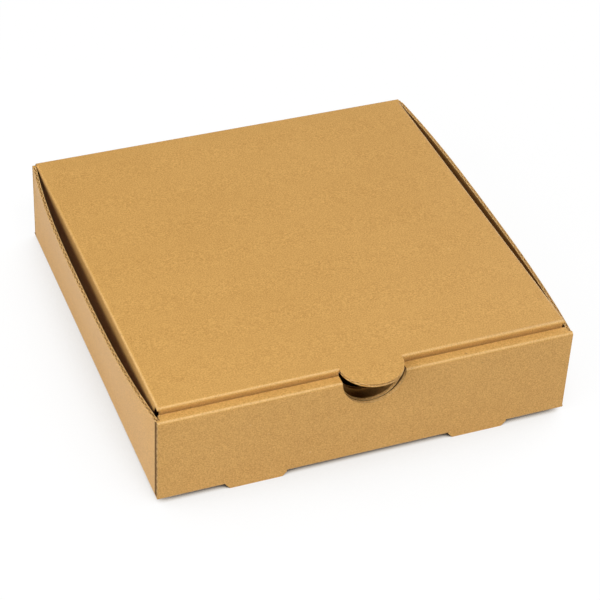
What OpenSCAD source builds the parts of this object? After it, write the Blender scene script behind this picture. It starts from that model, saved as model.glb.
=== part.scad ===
// Small kraft pizza box, folded from one sheet of fine corrugated board.
// The tray has a rolled-over front wall that locks into the base,
// bowed side walls and corner flaps. The lid hinges on the rear crease.

/* [Board] */
// Thickness of the corrugated board
board_t = 1.5; // [1.2:0.1:2]
// Outer radius of a folded edge
fold_r = 1.3; // [0.4:0.1:1.5]
// Air between boards that lie against each other
layer_gap = 0.1; // [0.05:0.05:0.3]

/* [Tray] */
// Outside width across the side walls at the base
box_w = 178; // [140:1:330]
// Outside depth from the front wall to the back wall
box_d = 182; // [140:1:330]
// Height of the front wall's ledge above the underside of the base
front_h = 40.9; // [34:0.1:60]
// Height of the rear crease above the underside of the base
back_h = 39.9; // [34:0.1:60]
// Outer radius of the fold at the back of the ledge
ledge_back_r = 0.3; // [0.1:0.1:1.5]
// Drop of a side wall's front end below the ledge
side_front_drop = 0.9; // [0.2:0.1:4]
// Drop of a side wall's rear end below the rear crease
side_rear_drop = 1.2; // [0.2:0.1:4]
// Bulge of the left side wall at the middle of its top edge
left_bow = 4.5; // [0.5:0.1:6]
// Bulge of the right side wall at the middle of its top edge
right_bow = 3.3; // [0.5:0.1:6]
// Fullness of the bulges: higher is flatter in the middle and steeper at the ends
bow_fullness = 2.8; // [2:0.1:4]
// Length of the corner flaps inside the front wall
front_flap_l = 46; // [20:1:60]
// Length of the corner flaps inside the back wall
rear_flap_l = 58; // [20:1:60]
// Chamfer at the free lower corner of each corner flap
flap_chamfer = 9; // [3:1:15]
// Inset of the front and back panels from the outer faces of the side walls
panel_inset = 0.3; // [0.1:0.1:1]

/* [Front lock] */
// Shift of the notch, the tab and the feet to the right of the box's middle
lock_shift = 1.3; // [0:0.1:4]
// Radius of the thumb notch in the front wall
notch_r = 13.7; // [8:0.1:20]
// Width of each foot under the front wall, and of the slot behind it
foot_w = 26; // [12:1:34]
// Drop of the feet below the underside of the base
foot_drop = 2.2; // [1:0.1:4]
// Distance between the centres of the feet
foot_pitch = 97; // [70:1:110]
// Slant of each end of a foot
foot_slant = 1.9; // [0.2:0.1:4]
// Room on each side of a tab in its slot
slot_room = 0.3; // [0.1:0.1:1]

/* [Lid] */
// Height of the lid's front edge above the ledge
lid_lift = 3.1; // [2:0.1:6]
// Clearance between the lid's flaps and the tray
lid_clear = 0.3; // [0.2:0.1:1]
// Radius of the half-moon tab on the lid's front edge
tab_r = 13.4; // [8:0.1:20]
// Width of the cut between the tab and the tuck flap
tab_kerf = 0.2; // [0.1:0.1:0.5]
// Depth of the lid's side flaps
side_flap_h = 30; // [15:1:31]
// Slope of the front ends of the side flaps, in degrees from upright
side_flap_taper = 24; // [15:1:40]
// Distance from the side flaps' rear ends to the rear crease
side_flap_rear = 7; // [6:0.5:30]
// Inset of the tuck flap's ends from the lid's ends
tuck_inset = 1.1; // [0.8:0.1:4]
// Radius of the tuck flap's lower corners
tuck_corner_r = 12; // [4:1:20]
// Spare room in front of the tuck flap as the lid swings
swing_room = 0.8; // [0.5:0.1:3]

/* [Hidden] */
$fn = 96;
kraft = [0.80, 0.63, 0.38];

// Front wall: outer panel, corner flap and inner panel with their gaps
ledge_d = 3 * board_t + 2 * layer_gap;
flap_y = board_t + layer_gap;
inner_w = box_w - 2 * board_t - 2 * lid_clear;
outer_w = box_w - 2 * panel_inset;

// Side walls: from the front corner fold to the rear corner fold
wall_y0 = flap_y + board_t;
wall_y1 = box_d - flap_y - board_t;
side_front_h = front_h - side_front_drop;
side_rear_h = back_h - side_rear_drop;
wall_steps_y = 24;
wall_steps_z = 6;

// Lid: footprint between the walls, and the crease that it turns on
lid_w = inner_w;
lid_y0 = ledge_d + lid_clear;
crease_y = box_d - board_t;
crease_z = back_h - board_t;
crease_gap = 0.05;
pivot_out = 0.1;
arc_mid = board_t - fold_r + (fold_r + pivot_out) * cos(45);
pivot_y = crease_y + arc_mid;
pivot_z = crease_z + arc_mid;
lid_reach = pivot_y - lid_y0;
lid_rise = asin((front_h + lid_lift - back_h) / lid_reach);

// Tuck flap: its fold at rest, its lean and its length down to the base
fold_rest_z = pivot_z + lid_reach * sin(lid_rise) + (crease_z - pivot_z) * cos(lid_rise);
tuck_drop = fold_rest_z - board_t - lid_clear;
tuck_rest_lean = atan(tuck_drop / (2 * lid_reach) + swing_room / tuck_drop);
tuck_lean = tuck_rest_lean + lid_rise;
tuck_l = tuck_drop / cos(tuck_rest_lean);
tuck_w = lid_w - 2 * tuck_inset;

// Origin: centre of the overall footprint, at the bottom of the feet
origin_x = (right_bow - left_bow) / 2;
origin_y = (box_d + lid_y0 - tab_r) / 2;

// Rectangle from the origin with one rounded corner, the one farthest from it
module folded_corner(size, r = fold_r) {
    difference() {
        square(size);
        translate([size[0] - r, size[1] - r]) difference() {
            square(2 * r);
            circle(r);
        }
    }
}

// Turns a profile drawn as (depth, height) into a strip of the given width
module across(width) {
    rotate([90, 0, 90]) linear_extrude(width, center = true) children();
}

// Board section of the given width with both lower edges rounded
module dished_section(width, height) {
    for (side = [0, 1])
        mirror([side, 0]) translate([0, height]) mirror([0, 1]) folded_corner([width / 2, height]);
}

// Bulge of a side wall, as a share of its bow, at u along it and v up it
function bulge(u, v) = (1 - pow(abs(2 * u - 1), bow_fullness)) * v * v * (3 - v) / 2;

// Side wall on the left, standing on the base and bowed outward at its top
module bowed_wall(bow) {
    rows = wall_steps_z + 1;
    points = [
        for (i = [0 : wall_steps_y], j = [0 : wall_steps_z], face = [0, 1])
            let (u = i / wall_steps_y, v = j / wall_steps_z)
            let (top = side_front_h + (side_rear_h - side_front_h) * u)
            [
                -box_w / 2 + face * board_t - bow * bulge(u, v),
                wall_y0 + (wall_y1 - wall_y0) * u,
                board_t + (top - board_t) * v
            ]
    ];
    function at(i, j, face) = (i * rows + j) * 2 + face;
    function quad(a, b, c, d) = [[a, c, b], [a, d, c]];
    skins = [
        for (i = [0 : wall_steps_y - 1], j = [0 : wall_steps_z - 1])
            each concat(
                quad(at(i, j, 0), at(i, j + 1, 0), at(i + 1, j + 1, 0), at(i + 1, j, 0)),
                quad(at(i, j, 1), at(i + 1, j, 1), at(i + 1, j + 1, 1), at(i, j + 1, 1))
            )
    ];
    long_edges = [
        for (i = [0 : wall_steps_y - 1])
            each concat(
                quad(at(i, 0, 0), at(i + 1, 0, 0), at(i + 1, 0, 1), at(i, 0, 1)),
                quad(at(i, wall_steps_z, 0), at(i, wall_steps_z, 1),
                     at(i + 1, wall_steps_z, 1), at(i + 1, wall_steps_z, 0))
            )
    ];
    ends = [
        for (j = [0 : wall_steps_z - 1])
            each concat(
                quad(at(0, j, 0), at(0, j, 1), at(0, j + 1, 1), at(0, j + 1, 0)),
                quad(at(wall_steps_y, j, 0), at(wall_steps_y, j + 1, 0),
                     at(wall_steps_y, j + 1, 1), at(wall_steps_y, j, 1))
            )
    ];
    polyhedron(points, concat(skins, long_edges, ends));
}

// Corner fold at the left end of a side wall and the flap that it turns in
module corner_flap(length, fold_h) {
    flap_h = fold_h - 2 * board_t - layer_gap;
    translate([-box_w / 2, 0, board_t]) {
        linear_extrude(fold_h - board_t)
            translate([board_t, board_t]) rotate(180) folded_corner([board_t, board_t]);
        translate([board_t, board_t, layer_gap]) rotate([90, 0, 0]) linear_extrude(board_t)
            polygon([
                [0, 0],
                [length - flap_chamfer, 0],
                [length, flap_chamfer],
                [length, flap_h],
                [0, flap_h]
            ]);
    }
}

// Bottom panel with all four lower edges folded round, and the two lock slots
module base() {
    difference() {
        intersection() {
            translate([0, box_d, 0]) rotate([90, 0, 0]) linear_extrude(box_d)
                dished_section(box_w, board_t);
            translate([0, box_d / 2, 0]) across(box_w) dished_section(box_d, board_t);
        }
        for (side = [-1, 1])
            translate([lock_shift + side * foot_pitch / 2 - foot_w / 2 - slot_room, board_t, -board_t])
                cube([foot_w + 2 * slot_room, ledge_d + slot_room - board_t, 3 * board_t]);
    }
}

// Section of the rolled-over front wall: ledge and inner panel, hollow between
module front_roll_section() {
    difference() {
        translate([0, board_t]) {
            translate([ledge_d / 2, 0])
                folded_corner([ledge_d / 2, front_h - board_t], ledge_back_r);
            translate([ledge_d / 2, 0]) mirror([1, 0])
                folded_corner([ledge_d / 2, front_h - board_t]);
        }
        translate([board_t, 0]) square([ledge_d - 2 * board_t, front_h - board_t]);
        translate([board_t, 0]) square([ledge_d, board_t + layer_gap]);
    }
}

// Section of the outer front panel, up to the fold into the ledge
module front_panel_section() {
    translate([board_t, board_t]) mirror([1, 0]) folded_corner([board_t, front_h - board_t]);
}

// Foot of the front panel and the inner panel's tab in the slot behind it
module lock_foot() {
    rotate([90, 0, 0]) translate([0, 0, -board_t]) linear_extrude(board_t)
        polygon([
            [-foot_w / 2, board_t],
            [-foot_w / 2, 0],
            [-foot_w / 2 + foot_slant, -foot_drop],
            [foot_w / 2 - foot_slant, -foot_drop],
            [foot_w / 2, 0],
            [foot_w / 2, board_t]
        ]);
    translate([-foot_w / 2 + slot_room, ledge_d - board_t, layer_gap])
        cube([foot_w - 2 * slot_room, board_t, 2 * board_t]);
}

module front_wall() {
    difference() {
        union() {
            across(inner_w) front_roll_section();
            across(outer_w) front_panel_section();
        }
        translate([lock_shift, -board_t, front_h]) rotate([-90, 0, 0])
            cylinder(h = ledge_d + 2 * board_t, r = notch_r);
    }
    for (side = [-1, 1])
        translate([lock_shift + side * foot_pitch / 2, 0, 0]) lock_foot();
}

// Square of the rear crease, with its outer edge rounded
module crease_block() {
    translate([crease_y, crease_z]) folded_corner([board_t, board_t]);
}

// Half of the crease block's space, above or below the mitre through it
module mitre_half(above) {
    reach = 2 * board_t;
    shift = above ? crease_gap : -crease_gap;
    translate([crease_y, crease_z + shift])
        polygon([[0, 0], [reach, reach], above ? [0, reach] : [reach, 0]]);
}

module back_wall() {
    translate([-outer_w / 2, crease_y, board_t]) cube([outer_w, board_t, crease_z - board_t]);
    across(lid_w) intersection() {
        crease_block();
        mitre_half(above = false);
    }
}

module tray_half(bow) {
    bowed_wall(bow);
    translate([0, flap_y, 0]) corner_flap(front_flap_l, side_front_h);
    translate([0, box_d - flap_y, 0]) mirror([0, 1, 0]) corner_flap(rear_flap_l, side_rear_h);
}

module tray() {
    color(kraft) to_origin() {
        base();
        front_wall();
        back_wall();
        tray_half(left_bow);
        mirror([1, 0, 0]) tray_half(right_bow);
    }
}

// Lid panel with its front and side edges folded round, and the half-moon tab
module lid_panel() {
    intersection() {
        translate([0, crease_y, back_h]) rotate([90, 0, 0]) linear_extrude(crease_y - lid_y0)
            mirror([0, 1]) dished_section(lid_w, board_t);
        across(lid_w) translate([crease_y, crease_z]) mirror([1, 0])
            folded_corner([crease_y - lid_y0, board_t]);
    }
    across(lid_w) intersection() {
        crease_block();
        mitre_half(above = true);
    }
    translate([lock_shift, lid_y0, crease_z]) cylinder(h = board_t, r = tab_r);
}

// Tuck flap hanging from the lid's front fold, with the tab's outline cut out
module tuck_flap() {
    bottom_w = tuck_w - 2 * tuck_corner_r;
    translate([0, lid_y0, crease_z]) rotate([tuck_lean, 0, 0])
        rotate([90, 0, 0]) translate([0, 0, -board_t]) linear_extrude(board_t)
        difference() {
            union() {
                translate([-tuck_w / 2, tuck_corner_r - tuck_l])
                    square([tuck_w, tuck_l - tuck_corner_r]);
                translate([-bottom_w / 2, -tuck_l]) square([bottom_w, tuck_corner_r]);
                for (side = [-1, 1])
                    translate([side * bottom_w / 2, tuck_corner_r - tuck_l]) circle(tuck_corner_r);
            }
            translate([lock_shift, 0]) circle(tab_r + tab_kerf);
        }
}

// Side flap hanging from the lid's left edge
module lid_side_flap() {
    front_y = lid_y0 + 2 * board_t;
    rear_y = box_d - side_flap_rear;
    set_back = side_flap_h * tan(side_flap_taper);
    translate([-(lid_w - board_t) / 2, 0, 0]) across(board_t)
        polygon([
            [front_y, crease_z],
            [front_y + set_back, crease_z - side_flap_h],
            [rear_y - board_t, crease_z - side_flap_h],
            [rear_y, crease_z]
        ]);
}

module lid() {
    color(kraft) to_origin()
        translate([0, pivot_y, pivot_z]) rotate([-lid_rise, 0, 0]) translate([0, -pivot_y, -pivot_z]) {
            lid_panel();
            tuck_flap();
            lid_side_flap();
            mirror([1, 0, 0]) lid_side_flap();
        }
}

// Moves the box from its front edge at y = 0, base at z = 0, to the origin
module to_origin() {
    translate([-origin_x, -origin_y, foot_drop]) children();
}

tray();
lid();
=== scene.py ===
import math

import bmesh
import bpy
from mathutils import Matrix, Vector


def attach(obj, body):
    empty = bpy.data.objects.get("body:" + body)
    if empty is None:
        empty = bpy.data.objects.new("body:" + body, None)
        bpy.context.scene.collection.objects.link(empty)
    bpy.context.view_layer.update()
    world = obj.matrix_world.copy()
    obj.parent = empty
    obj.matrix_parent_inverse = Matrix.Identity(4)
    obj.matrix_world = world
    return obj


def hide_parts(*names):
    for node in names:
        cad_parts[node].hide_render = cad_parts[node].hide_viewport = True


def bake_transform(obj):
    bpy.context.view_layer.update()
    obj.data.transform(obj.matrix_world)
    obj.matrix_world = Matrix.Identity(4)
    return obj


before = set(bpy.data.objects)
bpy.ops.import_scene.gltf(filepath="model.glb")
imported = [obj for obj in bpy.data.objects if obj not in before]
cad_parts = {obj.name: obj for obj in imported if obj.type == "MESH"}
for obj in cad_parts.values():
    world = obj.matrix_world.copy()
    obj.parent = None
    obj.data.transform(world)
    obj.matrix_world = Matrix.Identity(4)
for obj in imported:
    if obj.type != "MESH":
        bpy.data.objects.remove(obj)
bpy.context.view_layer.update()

# Sizes in millimetres, measured as on the folded box: x from its middle,
# y from the front face, z from the underside of the base.
MM = 0.001
BOARD = 1.5
FOLD_R = 1.3
BOX_W, BOX_D = 178.0, 182.0
PANEL_W = 177.4
LEDGE_Z, LEDGE_D = 40.9, 4.7
BACK_Z = 39.9
FOOT_DROP = 2.2
WALL_Y0, WALL_Y1 = 3.1, 178.9
WALL_TOP_FRONT, WALL_TOP_REAR = 40.0, 38.7
LEFT_BOW, RIGHT_BOW, BOW_FULLNESS = 4.5, 3.3, 2.8
LOCK_X = 1.3
NOTCH_R = 13.7
LID_W = 174.4
LID_Y0 = 5.0
LID_LIFT = 3.1
LID_CLEAR = 0.3
TAB_R = 13.4
SIDE_FLAP_H = 30.0
TUCK_INSET = 1.1
SWING_ROOM = 0.8
PIVOT_OUT = 0.1
ORIGIN_X, ORIGIN_Y = -0.6, 86.8

# Raw edges of the board: the liners' thickness, the groove between them and the waved paper in it.
LINER = 0.30
GROOVE = 0.5
NOTCH_GROOVE = 0.2
FLUTE_PITCH = 3.5
FLUTE_SWING = 0.36
FLUTE_PAPER = 0.30
FLUTE_STEPS = 8
FLUTE_ROOM = 0.02

# The inner front panel, pressed towards the outer one below the notch.
PANEL_PRESS = 1.4
PRESS_TOP = LEDGE_Z - 1.8
PRESS_FOOT, PRESS_RISE = 4, 16
PRESS_SIDE_REACH = 38
PRESS_CUT_HEIGHTS = (4, 8, 12, 16, 20, 24, 30, 33, 36, 39)
PRESS_CUT_SIDES = (14, 21, 28, 36, 44, 52)
INNER_PANEL_Z0, INNER_PANEL_Z1 = 1.7, 39.8
PRESSED_Z1 = LEDGE_Z - 1.6

# Paleness of the folds that run from front to rear, as a share of that of the others. The paleness is
# partly worn fibres and partly a painted highlight, which the front folds take most.
SIDE_FOLD_WEAR_AND_HIGHLIGHT = 0.2
SHORTEST_FOLD = 3 * MM
FOLD_ANGLES = (0.02, 0.35)

# Where the crease, the pivot and the tuck flap come to lie.
CREASE_Y, CREASE_Z = BOX_D - BOARD, BACK_Z - BOARD
PIVOT_Y = CREASE_Y + BOARD - FOLD_R + (FOLD_R + PIVOT_OUT) * math.sqrt(0.5)
PIVOT_Z = CREASE_Z + PIVOT_Y - CREASE_Y
LID_REACH = PIVOT_Y - LID_Y0
LID_RISE = math.asin((LEDGE_Z + LID_LIFT - BACK_Z) / LID_REACH)
FOLD_REST_Z = PIVOT_Z + LID_REACH * math.sin(LID_RISE) + (CREASE_Z - PIVOT_Z) * math.cos(LID_RISE)
TUCK_DROP = FOLD_REST_Z - BOARD - LID_CLEAR
TUCK_REST_LEAN = math.atan(TUCK_DROP / (2 * LID_REACH) + SWING_ROOM / TUCK_DROP)
TUCK_LEAN = TUCK_REST_LEAN + LID_RISE
TUCK_L = TUCK_DROP / math.cos(TUCK_REST_LEAN)
TUCK_W = LID_W - 2 * TUCK_INSET
TUCK_DOWN = Vector((0, math.sin(TUCK_LEAN), -math.cos(TUCK_LEAN)))
TUCK_THROUGH = Vector((0, math.cos(TUCK_LEAN), math.sin(TUCK_LEAN)))

# From the measuring point of the folded box to the frame's origin. The lid is measured level.
TO_FRAME = Matrix.Scale(MM, 4) @ Matrix.Translation((-ORIGIN_X, -ORIGIN_Y, FOOT_DROP))
LID_TURN = (Matrix.Translation((0, PIVOT_Y, PIVOT_Z)) @ Matrix.Rotation(-LID_RISE, 4, "X")
            @ Matrix.Translation((0, -PIVOT_Y, -PIVOT_Z)))
PLACES = {"tray": TO_FRAME, "lid": TO_FRAME @ LID_TURN}


def eased_share(share):
    """A share kept between 0 and 1, which starts and ends gently."""
    share = min(1.0, max(0.0, share))
    return share * share * (3 - 2 * share)


# Helpers for working as in the edit window

def nothing_selected():
    if bpy.context.mode != "OBJECT":
        bpy.ops.object.mode_set(mode="OBJECT")
    bpy.ops.object.select_all(action="DESELECT")


def work_on(piece):
    nothing_selected()
    piece.select_set(True)
    bpy.context.view_layer.objects.active = piece


def edit(piece):
    work_on(piece)
    bpy.ops.object.mode_set(mode="EDIT")
    bpy.ops.mesh.select_mode(type="FACE")
    bpy.ops.mesh.select_all(action="DESELECT")


def leave_edit():
    bpy.ops.object.mode_set(mode="OBJECT")


def pick_faces(piece, wanted, place):
    """Selects the faces whose middle and normal, as on the folded box, are wanted."""
    back = place.inverted()
    turn = back.to_3x3()
    sheet = bmesh.from_edit_mesh(piece.data)
    count = 0
    for face in sheet.faces:
        middle = back @ face.calc_center_median()
        normal = (turn @ face.normal).normalized()
        face.select_set(wanted(middle, normal))
        count += face.select
    sheet.select_flush_mode()
    bmesh.update_edit_mesh(piece.data)
    return count


def board_from(node, name):
    """A copy of a CAD node's mesh with its loose triangles merged and its flats cleaned."""
    piece = bpy.data.objects.new(name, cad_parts[node].data.copy())
    bpy.context.scene.collection.objects.link(piece)
    piece.data.name = name
    piece.data.materials.clear()
    edit(piece)
    bpy.ops.mesh.select_all(action="SELECT")
    bpy.ops.mesh.remove_doubles(threshold=0.00001)
    bpy.ops.mesh.dissolve_limited(angle_limit=math.radians(0.05))
    leave_edit()
    return piece


def paint(piece, slot, wanted, place):
    """Gives the wanted faces the material in a slot."""
    edit(piece)
    pick_faces(piece, wanted, place)
    piece.active_material_index = slot
    bpy.ops.object.material_slot_assign()
    leave_edit()


def open_cut_edge(piece, wanted, place, groove):
    """Opens a raw edge of the board: two liners with a groove between them, painted dark as the shade of
    the hollow flutes.
    """
    edit(piece)
    if pick_faces(piece, wanted, place):
        piece.active_material_index = LINER_SLOT
        bpy.ops.object.material_slot_assign()
        piece.active_material_index = HOLLOW_SHADE_SLOT
        bpy.ops.mesh.inset(thickness=LINER * MM, depth=0, use_boundary=True)
        bpy.ops.object.material_slot_assign()
        bpy.ops.mesh.extrude_region_shrink_fatten(
            TRANSFORM_OT_shrink_fatten={"value": -groove * MM})
    leave_edit()


def mark_folds(piece):
    """Writes how pale each point of a fold is painted, partly for worn fibres and partly as a painted
    highlight: most half way round a front fold, 0 on a flat.
    """
    sheet = bmesh.new()
    sheet.from_mesh(piece.data)
    mark = sheet.verts.layers.float.new("fold")
    for line in sheet.edges:
        if len(line.link_faces) != 2 or line.calc_length() < SHORTEST_FOLD:
            continue
        if not FOLD_ANGLES[0] < line.calc_face_angle(0.0) < FOLD_ANGLES[1]:
            continue
        normal = (line.link_faces[0].normal + line.link_faces[1].normal).normalized()
        flat = max(abs(part) for part in normal)
        share = min(1.0, max(0.0, (1 - flat - 0.02) / 0.2))
        along = (line.verts[1].co - line.verts[0].co).normalized()
        # Folds that run from front to rear take a smaller share: less of the painted highlight falls on
        # them.
        if abs(along.x) < 0.9:
            share *= SIDE_FOLD_WEAR_AND_HIGHLIGHT
        for point in line.verts:
            point[mark] = max(point[mark], share)
    sheet.to_mesh(piece.data)
    sheet.free()


def finish_board(piece):
    """Smooth folds and sharp cut edges, with the flats kept flat."""
    edit(piece)
    bpy.ops.mesh.select_mode(type="EDGE")
    bpy.ops.mesh.edges_select_sharp(sharpness=math.radians(50))
    bpy.ops.mesh.mark_sharp()
    leave_edit()
    work_on(piece)
    bpy.ops.object.shade_smooth(keep_sharp_edges=True)
    flat = piece.modifiers.new("flats", "WEIGHTED_NORMAL")
    flat.keep_sharp = True
    flat.weight = 80
    bpy.ops.object.modifier_apply(modifier=flat.name)


# Shader building

def new_group(name, inputs, outputs):
    group = bpy.data.node_groups.new(name, "ShaderNodeTree")
    for label, kind, value in inputs:
        socket = group.interface.new_socket(label, in_out="INPUT", socket_type=kind)
        if value is not None:
            socket.default_value = value
    for label, kind in outputs:
        group.interface.new_socket(label, in_out="OUTPUT", socket_type=kind)
    return group, group.nodes.new("NodeGroupInput"), group.nodes.new("NodeGroupOutput")


class Wiring:
    """Adds nodes to a tree and wires them, with numbers or sockets as inputs."""

    def __init__(self, tree):
        self.tree = tree

    def put(self, value, socket):
        if isinstance(value, bpy.types.NodeSocket):
            self.tree.links.new(value, socket)
        else:
            socket.default_value = value

    def math(self, kind, a, b=0.0, clamp=False):
        node = self.tree.nodes.new("ShaderNodeMath")
        node.operation = kind
        node.use_clamp = clamp
        self.put(a, node.inputs[0])
        self.put(b, node.inputs[1])
        return node.outputs[0]

    def weigh(self, *terms):
        """Sum of values, each times its weight."""
        parts = [self.math("MULTIPLY", value, weight) for value, weight in terms]
        total = parts[0]
        for part in parts[1:]:
            total = self.math("ADD", total, part)
        return total

    def vector(self, kind, a, b=(0, 0, 0)):
        node = self.tree.nodes.new("ShaderNodeVectorMath")
        node.operation = kind
        self.put(a, node.inputs[0])
        self.put(b, node.inputs[1])
        return node.outputs[0]

    def grow(self, a, amount):
        node = self.tree.nodes.new("ShaderNodeVectorMath")
        node.operation = "SCALE"
        self.put(a, node.inputs[0])
        self.put(amount, node.inputs["Scale"])
        return node.outputs[0]

    def band(self, value, low, high, out_low=0.0, out_high=1.0):
        node = self.tree.nodes.new("ShaderNodeMapRange")
        node.interpolation_type = "SMOOTHSTEP"
        self.put(value, node.inputs["Value"])
        self.put(low, node.inputs["From Min"])
        self.put(high, node.inputs["From Max"])
        self.put(out_low, node.inputs["To Min"])
        self.put(out_high, node.inputs["To Max"])
        return node.outputs["Result"]

    def noise(self, place, scale, detail=2.0, rough=0.5):
        node = self.tree.nodes.new("ShaderNodeTexNoise")
        self.put(place, node.inputs["Vector"])
        node.inputs["Scale"].default_value = scale
        node.inputs["Detail"].default_value = detail
        node.inputs["Roughness"].default_value = rough
        return node.outputs

    def ripple(self, place, scale, detail=2.0, rough=0.5):
        """Noise about zero."""
        return self.math("SUBTRACT", self.noise(place, scale, detail, rough)["Fac"], 0.5)

    def stir(self, place, scale, amount):
        """A place moved about by smooth noise."""
        shift = self.noise(place, scale, detail=0.0)["Color"]
        return self.vector("ADD", place, self.grow(self.vector("SUBTRACT", shift, (0.5, 0.5, 0.5)), amount))

    def flecks(self, place, scale, widest, core, faintest, strongest):
        """Flecks of mixed size and strength: whole in the core, fading out to the rim."""
        node = self.tree.nodes.new("ShaderNodeTexVoronoi")
        self.put(place, node.inputs["Vector"])
        node.inputs["Scale"].default_value = scale
        kind = self.split(node.outputs["Color"])
        size = self.math("POWER", kind[0], 3.0)
        reach = self.math("ADD", self.math("MULTIPLY", size, widest), 0.012)
        fade = self.band(node.outputs["Distance"], self.math("MULTIPLY", reach, core), reach)
        strength = self.band(kind[1], 0.1, 0.9, faintest, strongest)
        return self.math("MULTIPLY", self.math("SUBTRACT", 1.0, fade), strength)

    def blend(self, share, a, b, kind="MIX"):
        node = self.tree.nodes.new("ShaderNodeMix")
        node.data_type = "RGBA"
        node.blend_type = kind
        self.put(share, node.inputs["Factor"])
        self.put(a, node.inputs["A"])
        self.put(b, node.inputs["B"])
        return node.outputs["Result"]

    def split(self, vector):
        node = self.tree.nodes.new("ShaderNodeSeparateXYZ")
        self.put(vector, node.inputs[0])
        return node.outputs

    def use(self, group, **values):
        node = self.tree.nodes.new("ShaderNodeGroup")
        node.node_tree = group
        for label, value in values.items():
            self.put(value, node.inputs[label.replace("_", " ")])
        return node.outputs


def make_paper_group():
    """Kraft paper: cloudy formation, fine grain, fibres, bark specks and pale specks."""
    group, given, result = new_group(
        "kraft_paper",
        [("Place", "NodeSocketVector", None), ("Grain", "NodeSocketFloat", 1.0),
         ("Clouds", "NodeSocketFloat", 1.0)],
        [("Tone", "NodeSocketFloat"), ("Bark", "NodeSocketFloat"),
         ("Pale", "NodeSocketFloat"), ("Height", "NodeSocketFloat")])
    w = Wiring(group)
    place = w.grow(given.outputs["Place"], 1 / MM)
    grain = w.ripple(place, 1.8, rough=0.6)
    tooth = w.ripple(place, 4.5, detail=1.0)
    patches = w.ripple(place, 0.20, detail=3.0, rough=0.65)
    clouds = w.ripple(place, 0.022)

    swirl = w.stir(place, 0.22, 9.0)
    strands = 0.0
    for stretch in ((0.30, 3.4, 3.4), (3.4, 0.30, 3.4), (3.4, 3.4, 0.30)):
        fibre = w.noise(w.vector("MULTIPLY", swirl, stretch), 1.0, detail=1.0)["Fac"]
        pale_fibre = w.band(fibre, 0.60, 0.74)
        dark_fibre = w.band(fibre, 0.40, 0.26)
        strands = w.math("ADD", strands, w.math("SUBTRACT", pale_fibre, dark_fibre))

    fine = w.weigh((grain, 0.95), (tooth, 0.25), (strands, 0.055))
    fine = w.math("MULTIPLY", fine, given.outputs["Grain"])
    wide = w.weigh((patches, 0.11), (clouds, 0.07))
    wide = w.math("MULTIPLY", wide, given.outputs["Clouds"])
    tone = w.math("MAXIMUM", w.math("ADD", fine, wide), -0.4)

    bent = w.stir(place, 1.6, 0.7)
    bark = w.flecks(w.vector("MULTIPLY", bent, (0.75, 1.0, 1.0)), 0.19,
                    widest=0.085, core=0.45, faintest=0.25, strongest=0.9)
    aside = w.vector("ADD", bent, (41.0, 17.0, 63.0))
    pale = w.flecks(w.vector("MULTIPLY", aside, (0.55, 1.1, 1.0)), 0.21,
                    widest=0.10, core=0.3, faintest=0.15, strongest=0.6)

    height = w.weigh((grain, 0.7), (tooth, 0.4), (strands, 0.12))
    for label, value in (("Tone", tone), ("Bark", bark), ("Pale", pale), ("Height", height)):
        group.links.new(value, result.inputs[label])
    return group


# Colours of the paper: how its grain shifts the tone, its specks, and the pale of a fold, which is partly
# worn fibres and partly a painted highlight
GRAIN_TINT = (1.0, 1.3, 2.1)
BARK = (0.22, 0.115, 0.035)
PALE = (0.86, 0.62, 0.33)
WORN_AND_HIGHLIGHT = (0.88, 0.60, 0.27)


def kraft(name, paper, colour, rough, grain=1.0, clouds=1.0, wear_and_highlight=0.0, sheen=0.0):
    """Material of a kraft paper surface, paler where it is folded: partly worn fibres, partly a painted
    highlight.
    """
    made = bpy.data.materials.new(name)
    made.use_nodes = True
    tree = made.node_tree
    w = Wiring(tree)
    shader = tree.nodes["Principled BSDF"]
    place = tree.nodes.new("ShaderNodeTexCoord").outputs["Object"]
    sheet = w.use(paper, Place=place, Grain=grain, Clouds=clouds)
    shade = w.vector("ADD", w.vector("MULTIPLY", sheet["Tone"], GRAIN_TINT), (1.0, 1.0, 1.0))
    base = w.blend(1.0, (*colour, 1.0), shade, "MULTIPLY")
    base = w.blend(w.math("MULTIPLY", sheet["Bark"], 0.62), base, (*BARK, 1.0))
    base = w.blend(w.math("MULTIPLY", sheet["Pale"], 0.5), base, (*PALE, 1.0))
    # Folds are painted paler: partly worn fibres, partly a painted highlight.
    if wear_and_highlight:
        fold = tree.nodes.new("ShaderNodeAttribute")
        fold.attribute_name = "fold"
        worn_and_highlight = w.math("MULTIPLY", fold.outputs["Fac"], w.math("ADD", sheet["Height"], wear_and_highlight))
        base = w.blend(worn_and_highlight, base, (*WORN_AND_HIGHLIGHT, 1.0))
    tree.links.new(base, shader.inputs["Base Color"])
    tree.links.new(w.math("ADD", w.math("MULTIPLY", sheet["Height"], 0.12), rough),
                   shader.inputs["Roughness"])
    bump = tree.nodes.new("ShaderNodeBump")
    bump.inputs["Strength"].default_value = 0.35
    bump.inputs["Distance"].default_value = 0.00005
    tree.links.new(sheet["Height"], bump.inputs["Height"])
    tree.links.new(bump.outputs["Normal"], shader.inputs["Normal"])
    shader.inputs["Specular IOR Level"].default_value = 0.36
    shader.inputs["Sheen Weight"].default_value = sheen
    shader.inputs["Sheen Roughness"].default_value = 0.45
    return made


# Materials, and the slots that they take on a board
paper = make_paper_group()
# The liner's fold paleness is partly wear and partly a painted highlight.
LINER_LOOK = {"colour": (0.620, 0.338, 0.088), "rough": 0.55, "grain": 0.95, "clouds": 1.15,
              "wear_and_highlight": 0.42, "sheen": 0.14}
liner_tray = kraft("kraft_liner_tray", paper, **LINER_LOOK)
liner_lid = kraft("kraft_liner_lid", paper, **LINER_LOOK)
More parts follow.
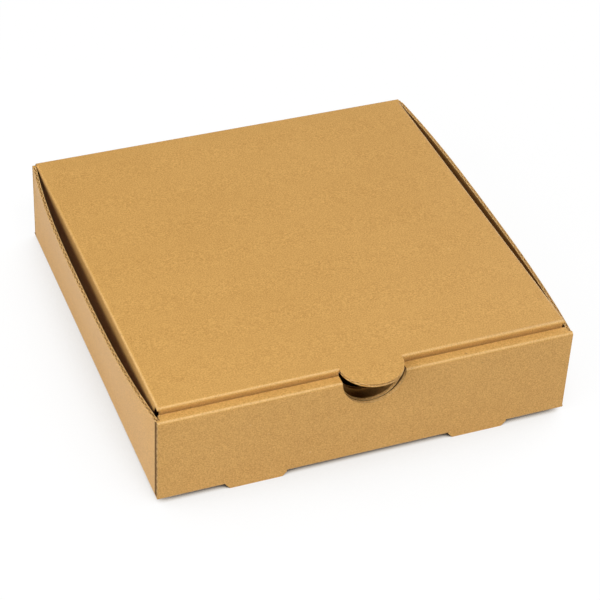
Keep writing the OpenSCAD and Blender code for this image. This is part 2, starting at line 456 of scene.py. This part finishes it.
# The inside liner is painted at half the outer liner's colour, as painted shade that darkens the gaps and
# the notch.
inside_liner_shade = kraft("kraft_inside_liner", paper, (0.310, 0.170, 0.049), rough=0.70, grain=1.3, clouds=1.5)
# The hollows of the flutes are painted dark: painted shade, darkest in the panel ends' grooves and between
# the two front panels.
flute_hollow = kraft("flute_hollow", paper, (0.270, 0.145, 0.045), rough=0.9, grain=1.3, clouds=0.6)
deep_hollow_shade = kraft("deep_flute_hollow", paper, (0.150, 0.075, 0.022), rough=0.9, grain=1.3, clouds=0.6)
medium = kraft("fluted_medium", paper, (0.64, 0.40, 0.15), rough=0.75, grain=1.3, clouds=0.8)
LINER_SLOT, HOLLOW_SHADE_SLOT, INSIDE_SHADE_SLOT, MEDIUM_SLOT, DEEP_SHADE_SLOT = range(5)


# Faces of the boards, told by their middle p and normal n as on the folded box.
# SLACK is how far p may lie off a plane. ALONG and ACROSS are how much of n lies on an axis.
SLACK, WIDE_SLACK = 0.02, 0.05
ALONG, ACROSS = 0.9, 0.1
ARC_SLACK, ARC_SAG = 0.3, 0.6
WALL_TOP_LOW = 37.5
REAR_FLAP_LOW, REAR_FLAP_OUT = 10, 87.4
TUCK_REAR, TUCK_OUT = 25, 86.3
SIDE_FLAP_IN, SIDE_FLAP_FRONT = 85.6, 7.9
TRAY_MIDDLE = Vector((0, BOX_D / 2, BACK_Z / 2))
LID_MIDDLE = Vector((0, BOX_D / 2, BACK_Z / 4))


def wall_bulge(y):
    """Share of the bow at the top of a side wall, and the height of that top."""
    along = min(1.0, max(0.0, (y - WALL_Y0) / (WALL_Y1 - WALL_Y0)))
    top = WALL_TOP_FRONT + (WALL_TOP_REAR - WALL_TOP_FRONT) * along
    return 1 - abs(2 * along - 1) ** BOW_FULLNESS, top


def side_wall_top(p, n):
    return (n.z > ALONG and abs(p.x) > BOX_W / 2 - BOARD - SLACK and p.z > WALL_TOP_LOW
            and BOARD + WIDE_SLACK < p.y < CREASE_Y - WIDE_SLACK)


def pale_rims_and_lit_right_groove(p, n):
    """The pale cut liners of a side wall's top, and the groove of the right one, painted pale as well,
    without the shade of its hollows: painted light.
    """
    return side_wall_top(p, n) and (p.x > 0 or p.z > wall_bulge(p.y)[1] - GROOVE / 2)


def panel_end(p, n):
    return (abs(n.x) > ALONG and abs(abs(p.x) - PANEL_W / 2) < SLACK
            and (p.y < BOARD + SLACK or p.y > CREASE_Y - 2 * WIDE_SLACK))


# The panel ends' grooves take the darkest painted shade.
def panel_end_hollow(p, n):
    sunk = PANEL_W / 2 - abs(p.x)
    return p.y < BOARD and WIDE_SLACK < sunk < GROOVE + WIDE_SLACK and p.z > 0


def notch_cut(p, n):
    out = Vector((p.x - LOCK_X, p.z - LEDGE_Z))
    if not NOTCH_R - ARC_SAG < out.length < NOTCH_R + ARC_SLACK or abs(n.y) > ACROSS:
        return False
    return p.y < LEDGE_D + SLACK and p.z < LEDGE_Z - SLACK / 2 and out.dot(Vector((n.x, n.z))) < 0


def notch_groove_painted_light(p, n):
    """The groove in the notch, painted in the pale paper instead of the shade of its hollows: painted light
    on the cut edge.
    """
    out = Vector((p.x - LOCK_X, p.z - LEDGE_Z))
    return (NOTCH_R - 2 * WIDE_SLACK < out.length < NOTCH_R + ARC_SLACK
            and p.y < LEDGE_D + SLACK and abs(n.y) < ACROSS)


def foot_cut(p, n):
    return p.z < -SLACK and p.y < BOARD + SLACK and abs(n.y) < ACROSS


def rear_flap_cut(p, n):
    return (WALL_Y1 - WIDE_SLACK < p.y < CREASE_Y - WIDE_SLACK and abs(p.x) < REAR_FLAP_OUT
            and abs(n.y) < ACROSS and p.z > REAR_FLAP_LOW)


# The space between the two front panels takes the darkest painted shade.
def double_wall_hollow(p, n):
    return BOARD - SLACK < p.y < LEDGE_D - BOARD + SLACK and n.z < 0.5


def inside_of_tray(p, n):
    return p.y > LEDGE_D + SLACK and n.dot(TRAY_MIDDLE - p) > 0


def inner_panel(p):
    return LEDGE_D - BOARD - WIDE_SLACK < p.y < LEDGE_D + WIDE_SLACK and p.z > INNER_PANEL_Z0


def inner_panel_face(p, n):
    return inner_panel(p) and abs(n.y) > ALONG and p.z < INNER_PANEL_Z1


def tab_cut(p, n):
    out = Vector((p.x - LOCK_X, p.y - LID_Y0))
    return (abs(n.z) < ACROSS and abs(out.length - TAB_R) < ARC_SLACK and p.y < LID_Y0
            and out.dot(n.xy) > 0 and p.z > CREASE_Z)


def tuck_cut(p, n):
    return (p.z < CREASE_Z - 0.3 and p.y < TUCK_REAR and abs(p.x) < TUCK_OUT
            and abs(n.dot(TUCK_THROUGH)) < 2 * ACROSS)


def side_flap_cut(p, n):
    return (p.z < CREASE_Z - 0.1 and abs(p.x) > SIDE_FLAP_IN and p.y > SIDE_FLAP_FRONT
            and abs(n.x) < ACROSS)


def inside_of_lid(p, n):
    return n.dot(LID_MIDDLE - p) > 0


# Boards

def panel_press(x, z):
    """How far the inner front panel is pressed towards the outer one, most at the notch's foot."""
    low = LEDGE_Z - NOTCH_R
    aside = (abs(x - LOCK_X) - NOTCH_R) / PRESS_SIDE_REACH
    height = (PRESS_TOP - z) / (PRESS_TOP - low) if z > low else (z - PRESS_FOOT) / PRESS_RISE
    return PANEL_PRESS * eased_share(height) * (1 - eased_share(aside))


def press_inner_panel(piece, place):
    """Cuts the inner front panel into small fields and presses it forward below the notch."""
    cuts = [((0, 0, z), (0, 0, 1)) for z in PRESS_CUT_HEIGHTS]
    cuts += [((LOCK_X + side * x, 0, 0), (1, 0, 0)) for side in (-1, 1) for x in PRESS_CUT_SIDES]
    for spot, across in cuts:
        edit(piece)
        pick_faces(piece, inner_panel_face, place)
        bpy.ops.mesh.bisect(plane_co=place @ Vector(spot), plane_no=across)
        leave_edit()
    back = place.inverted()
    for point in piece.data.vertices:
        spot = back @ point.co
        if inner_panel(spot) and spot.z < PRESSED_Z1:
            spot.y -= panel_press(spot.x, spot.z)
            point.co = place @ spot


tray_board = board_from("tray", "tray_board")
lid_board = board_from("lid", "lid_board")
# Pale paper on the rims, and as painted light in the notch's groove and the right wall's groove; the
# darkest painted shade in the panel ends' grooves and between the front panels.
TRAY_PAINT = ((MEDIUM_SLOT, notch_groove_painted_light), (MEDIUM_SLOT, panel_end), (MEDIUM_SLOT, pale_rims_and_lit_right_groove),
              (DEEP_SHADE_SLOT, panel_end_hollow), (DEEP_SHADE_SLOT, double_wall_hollow))
for board, materials, inside, raw_edges in (
        (tray_board, (liner_tray, flute_hollow, inside_liner_shade, medium, deep_hollow_shade), inside_of_tray,
         (side_wall_top, panel_end, notch_cut, foot_cut, rear_flap_cut)),
        (lid_board, (liner_lid, flute_hollow, inside_liner_shade), inside_of_lid,
         (tab_cut, tuck_cut, side_flap_cut))):
    body = board.name.split("_")[0]
    for material in materials:
        board.data.materials.append(material)
    # Inside faces take the darker inside liner: painted shade.
    paint(board, INSIDE_SHADE_SLOT, inside, PLACES[body])
    for raw in raw_edges:
        open_cut_edge(board, raw, PLACES[body], NOTCH_GROOVE if raw is notch_cut else GROOVE)
    if board is tray_board:
        for slot, wanted in TRAY_PAINT:
            paint(board, slot, wanted, PLACES[body])
        press_inner_panel(board, PLACES[body])
    mark_folds(board)
    finish_board(board)
    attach(board, body)
    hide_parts(body)


# Fluted medium in the cut edges. Each run gives, for a share of its length, the middle of
# the edge, the way into the board, the way across it and the place along the flutes.
WALL_RUN_START, WALL_RUN_LENGTH = 1.9, 178.2
END_RUN_START, END_RUN_STOP = 1.8, 0.3
NOTCH_RUN_TURN, TAB_RUN_TURN = 84, 87
SIDE_FLAP_RUN_START, SIDE_FLAP_RUN_END = 21.6, 173.3
TUCK_RUN_START, TUCK_RUN_SHORT = 0.8, 13.0
REAR_FLAP_RUN_START, REAR_FLAP_RUN_END = 29.9, 87.2
REAR_FLAP_Y, REAR_FLAP_Z = 179.65, 37.1


def wall_top_run(side, bow):
    def run(share):
        y = WALL_RUN_START + share * WALL_RUN_LENGTH
        bulge, top = wall_bulge(y)
        x = side * (BOX_W / 2 - BOARD / 2 + bow * bulge)
        return Vector((x, y, top)), Vector((0, 0, -1)), Vector((1, 0, 0)), y
    return run


def panel_end_run(side, y, top):
    def run(share):
        z = END_RUN_START + share * (top - END_RUN_STOP - END_RUN_START)
        return Vector((side * PANEL_W / 2, y, z)), Vector((-side, 0, 0)), Vector((0, 1, 0)), z
    return run


def notch_run(y):
    def run(share):
        turn = math.radians(-NOTCH_RUN_TURN + 2 * NOTCH_RUN_TURN * share)
        out = Vector((math.sin(turn), 0, -math.cos(turn)))
        spot = Vector((LOCK_X, y, LEDGE_Z)) + out * NOTCH_R
        if y > BOARD:
            spot.y -= panel_press(spot.x, spot.z)
        return spot, out, Vector((0, 1, 0)), spot.z
    return run


def tab_run(share):
    turn = math.radians(-TAB_RUN_TURN + 2 * TAB_RUN_TURN * share)
    out = Vector((math.sin(turn), -math.cos(turn), 0))
    spot = Vector((LOCK_X, LID_Y0, CREASE_Z + BOARD / 2)) + out * TAB_R
    return spot, -out, Vector((0, 0, 1)), spot.y


def side_flap_run(side):
    def run(share):
        y = SIDE_FLAP_RUN_START + share * (SIDE_FLAP_RUN_END - SIDE_FLAP_RUN_START)
        spot = Vector((side * (LID_W - BOARD) / 2, y, CREASE_Z - SIDE_FLAP_H))
        return spot, Vector((0, 0, 1)), Vector((1, 0, 0)), y
    return run


def tuck_side_run(side):
    def run(share):
        length = TUCK_RUN_START + share * (TUCK_L - TUCK_RUN_SHORT)
        fold = Vector((side * TUCK_W / 2, LID_Y0, CREASE_Z))
        spot = fold + TUCK_DOWN * length + TUCK_THROUGH * BOARD / 2
        return spot, Vector((-side, 0, 0)), TUCK_THROUGH, length
    return run


def rear_flap_run(side):
    def run(share):
        x = side * (REAR_FLAP_RUN_START + share * (REAR_FLAP_RUN_END - REAR_FLAP_RUN_START))
        return Vector((x, REAR_FLAP_Y, REAR_FLAP_Z)), Vector((0, 0, -1)), Vector((0, 1, 0)), x
    return run


def flute_strip(run, waves, place, groove):
    """A strip of paper waved along its run and set on edge in the groove."""
    nothing_selected()
    bpy.ops.mesh.primitive_grid_add(x_subdivisions=waves * FLUTE_STEPS, y_subdivisions=1, size=1)
    strip = bpy.context.object
    for point in strip.data.vertices:
        spot, into, across, wave = run(point.co.x + 0.5)
        swing = FLUTE_SWING * math.sin(2 * math.pi * wave / FLUTE_PITCH)
        depth = FLUTE_ROOM + (point.co.y + 0.5) * (groove - 2 * FLUTE_ROOM)
        point.co = place @ (spot + into * depth + across * swing)
    thick = strip.modifiers.new("paper", "SOLIDIFY")
    thick.thickness = FLUTE_PAPER * MM
    thick.offset = 0
    bpy.ops.object.modifier_apply(modifier=thick.name)
    return strip


def fluting(name, body, runs):
    """The flute strips of a body as one piece. With each run come its count of waves and its groove."""
    strips = [flute_strip(run, waves, PLACES[body], groove) for run, waves, groove in runs]
    nothing_selected()
    for strip in strips:
        strip.select_set(True)
    bpy.context.view_layer.objects.active = strips[0]
    bpy.ops.object.join()
    piece = bpy.context.object
    piece.name = piece.data.name = name
    piece.data.materials.append(medium)
    bpy.ops.object.shade_smooth_by_angle(angle=math.radians(50))
    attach(piece, body)


SIDES = (-1, 1)
fluting("tray_fluting", "tray", (
    [(wall_top_run(-1, LEFT_BOW), 51, GROOVE), (wall_top_run(1, RIGHT_BOW), 51, GROOVE)]
    + [(panel_end_run(side, BOARD / 2, LEDGE_Z - FOLD_R), 11, GROOVE) for side in SIDES]
    + [(panel_end_run(side, BOX_D - BOARD / 2, CREASE_Z), 11, GROOVE) for side in SIDES]
    + [(notch_run(y), 11, NOTCH_GROOVE) for y in (BOARD / 2, LEDGE_D - BOARD / 2)]
    + [(rear_flap_run(side), 17, GROOVE) for side in SIDES]))
fluting("lid_fluting", "lid", (
    [(tab_run, 12, GROOVE)]
    + [(side_flap_run(side), 44, GROOVE) for side in SIDES]
    + [(tuck_side_run(side), 8, GROOVE) for side in SIDES]))


# Rear crease: the board that bends between the back wall and the lid
CREASE_REACH = 1.0
CREASE_SUNK = 0.01
CREASE_INNER_R = 0.4
CREASE_STEP = 0.12


def crease_outline():
    """Its section as (depth, height): round the outside of the fold and back inside it."""
    middle_y, middle_z = BOX_D - FOLD_R, BACK_Z - FOLD_R
    outer_r = FOLD_R - CREASE_SUNK
    outside = [(BOX_D - CREASE_SUNK, CREASE_Z - CREASE_REACH)]
    for step in range(13):
        turn = math.radians(90 * step / 12)
        outside.append((middle_y + outer_r * math.cos(turn), middle_z + outer_r * math.sin(turn)))
    outside.append((CREASE_Y - CREASE_REACH, BACK_Z - CREASE_SUNK))
    inner_y, inner_z = CREASE_Y + CREASE_SUNK, CREASE_Z + CREASE_SUNK
    inside = [(CREASE_Y - CREASE_REACH + CREASE_STEP * step, inner_z) for step in range(6)]
    for step in range(1, 7):
        turn = math.radians(90 - 90 * step / 7)
        inside.append((inner_y - CREASE_INNER_R + CREASE_INNER_R * math.cos(turn),
                       inner_z - CREASE_INNER_R + CREASE_INNER_R * math.sin(turn)))
    inside += [(inner_y, CREASE_Z - CREASE_INNER_R - CREASE_STEP * step) for step in range(6)]
    return outside + inside


def lid_share(y, z):
    """Share of the lid's turn that a point of the crease takes."""
    return eased_share((z - y - (CREASE_Z - CREASE_Y - CREASE_REACH)) / (2 * CREASE_REACH))


outline = crease_outline()
nothing_selected()
bpy.ops.mesh.primitive_circle_add(vertices=len(outline), radius=1, fill_type="NGON")
rear_crease = bpy.context.object
rear_crease.name = rear_crease.data.name = "rear_crease"
for point, (y, z) in zip(rear_crease.data.vertices, outline):
    turn = Matrix.Rotation(-LID_RISE * lid_share(y, z), 4, "X")
    bent = turn @ Vector((0, y - PIVOT_Y, z - PIVOT_Z))
    point.co = TO_FRAME @ Vector((-LID_W / 2, bent.y + PIVOT_Y, bent.z + PIVOT_Z))
edit(rear_crease)
bpy.ops.mesh.select_all(action="SELECT")
bpy.ops.mesh.extrude_region_move(TRANSFORM_OT_translate={"value": (LID_W * MM, 0, 0)})
bpy.ops.mesh.select_all(action="SELECT")
bpy.ops.mesh.normals_make_consistent(inside=False)
leave_edit()
rear_crease.data.materials.append(liner_tray)
work_on(rear_crease)
bpy.ops.object.shade_smooth_by_angle(angle=math.radians(40))
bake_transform(rear_crease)

# Floor: it meets the feet at the front and the base's rear edge. Its own light keeps it white to
# the camera, and is dimmed and warmed close to the box as its soft shadow.
FLOOR_FRONT = TO_FRAME @ Vector((0, 0, -FOOT_DROP))
FLOOR_REAR = TO_FRAME @ Vector((0, BOX_D - FOLD_R, 0))
FLOOR_TILT = math.atan2(FLOOR_REAR.z - FLOOR_FRONT.z, FLOOR_REAR.y - FLOOR_FRONT.y)
FLOOR_BOUNCE = (0.66, 0.66, 0.66, 1)
FLOOR_SEEN = (0.06, 0.06, 0.06, 1)
FLOOR_GLOW = 0.945
SHADOW_REACH, SHADOW_FALL, SHADOW_DEPTH = 0.3, 4.0, 1.9
SHADOW_TINT = (1.0, 0.82, 0.62, 1)
WHITE = (1, 1, 1, 1)
nothing_selected()
bpy.ops.mesh.primitive_circle_add(vertices=64, radius=6, fill_type="NGON", location=FLOOR_FRONT,
                                  rotation=(FLOOR_TILT, 0, 0))
floor = bpy.context.object
floor.name = "floor"
white = bpy.data.materials.new("white_floor")
white.use_nodes = True
tree = white.node_tree
w = Wiring(tree)
shader = tree.nodes["Principled BSDF"]
shader.inputs["Roughness"].default_value = 0.9
shader.inputs["Specular IOR Level"].default_value = 0.0
path = tree.nodes.new("ShaderNodeLightPath")
seen = w.math("MAXIMUM", path.outputs["Is Camera Ray"], path.outputs["Is Glossy Ray"])
tree.links.new(w.blend(seen, FLOOR_BOUNCE, FLOOR_SEEN), shader.inputs["Base Color"])
open_sky = tree.nodes.new("ShaderNodeAmbientOcclusion")
open_sky.inputs["Distance"].default_value = SHADOW_REACH
closed = w.math("SUBTRACT", 1.0, open_sky.outputs["AO"])
soft_shadow = w.math("MULTIPLY", w.math("POWER", closed, SHADOW_FALL), SHADOW_DEPTH, clamp=True)
glow = w.math("MULTIPLY", w.math("SUBTRACT", 1.0, soft_shadow), FLOOR_GLOW)
tree.links.new(w.blend(soft_shadow, WHITE, SHADOW_TINT), shader.inputs["Emission Color"])
tree.links.new(w.math("MULTIPLY", seen, glow), shader.inputs["Emission Strength"])
floor.data.materials.append(white)

# Light: a white backdrop that lights the box only a little, and three softboxes in metres and watts
WORLD_FILL = 0.02
LIGHT_AIM = Vector((0, 0, 0.02))
SOFTBOXES = (
    ("front_softbox", (0.057, -1.633, 2.516), 0.8, 61),
    ("left_softbox", (-1.205, -0.323, 0.636), 1.1, 15.2),
    ("rear_softbox", (1.570, 0.906, 0.845), 1.0, 16),
)
world = bpy.data.worlds.new("studio")
bpy.context.scene.world = world
world.use_nodes = True
tree = world.node_tree
w = Wiring(tree)
background = tree.nodes["Background"]
background.inputs["Color"].default_value = WHITE
seen = tree.nodes.new("ShaderNodeLightPath").outputs["Is Camera Ray"]
tree.links.new(w.math("MAXIMUM", seen, WORLD_FILL), background.inputs["Strength"])
for name, place, size, power in SOFTBOXES:
    nothing_selected()
    bpy.ops.object.light_add(type="AREA", location=place)
    lamp = bpy.context.object
    lamp.name = name
    lamp.data.shape = "RECTANGLE"
    lamp.data.size = lamp.data.size_y = size
    lamp.data.energy = power
    lamp.rotation_euler = (LIGHT_AIM - Vector(place)).to_track_quat("-Z", "Y").to_euler()

# Camera, as fitted to the box's edges
AZIMUTH, ELEVATION, ROLL = (math.radians(a) for a in (-22.655, 38.821, 3.067))
TARGET = Vector((0.000675, -0.008589, 0.0220))
DISTANCE = 0.917768
LENS = 128.94
nothing_selected()
bpy.ops.object.camera_add()
camera = bpy.context.object
camera.name = "photo_camera"
back = Vector((math.sin(AZIMUTH) * math.cos(ELEVATION),
               -math.cos(AZIMUTH) * math.cos(ELEVATION),
               math.sin(ELEVATION)))
camera.location = TARGET + back * DISTANCE
level = (-back).to_track_quat("-Z", "Y").to_matrix()
camera.rotation_euler = (level @ Matrix.Rotation(ROLL, 3, "Z")).to_euler()
camera.data.sensor_width = 36
camera.data.lens = LENS
camera.data.clip_start = 0.01
camera.data.clip_end = 50
bpy.context.scene.camera = camera
bpy.context.scene.view_settings.view_transform = "Standard"
